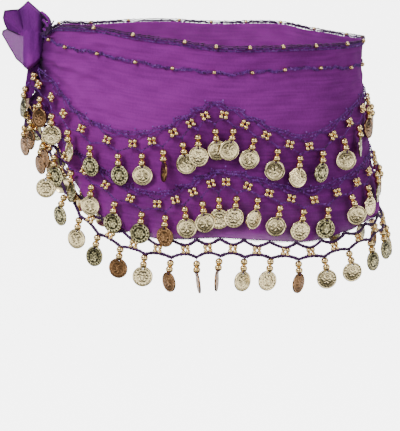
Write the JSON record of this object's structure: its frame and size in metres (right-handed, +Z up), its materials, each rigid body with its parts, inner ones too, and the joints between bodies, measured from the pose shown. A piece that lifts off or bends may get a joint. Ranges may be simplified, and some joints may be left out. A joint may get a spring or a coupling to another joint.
{
  "type": "belly dance hip scarf",
  "caption": "Chiffon hip scarf tied at one hip, with crocheted beaded edging and three swagged nets of coin drops, in its worn shape.",
  "frame": {"origin": "middle of the waist opening, at the height where the hips hold the scarf", "axes": "-X towards the knot at the wearer's right hip, -Y the front, +Z up"},
  "size_m": [0.4111, 0.2923, 0.2805],
  "materials": {
    "chiffon": "sheer matt weave",
    "crochet": "twisted thread",
    "coin_metal": "stamped, antiqued"
  },
  "bodies": {
    "root": {"wrap": "chiffon", "knot": "chiffon", "tail_up": "chiffon", "tail_down": "chiffon", "trim_top": "crochet", "trim_second": "crochet", "coin_tier_1": "coin_metal", "coin_tier_2": "coin_metal", "coin_tier_hem": "coin_metal"}
  },
  "joints": []
}
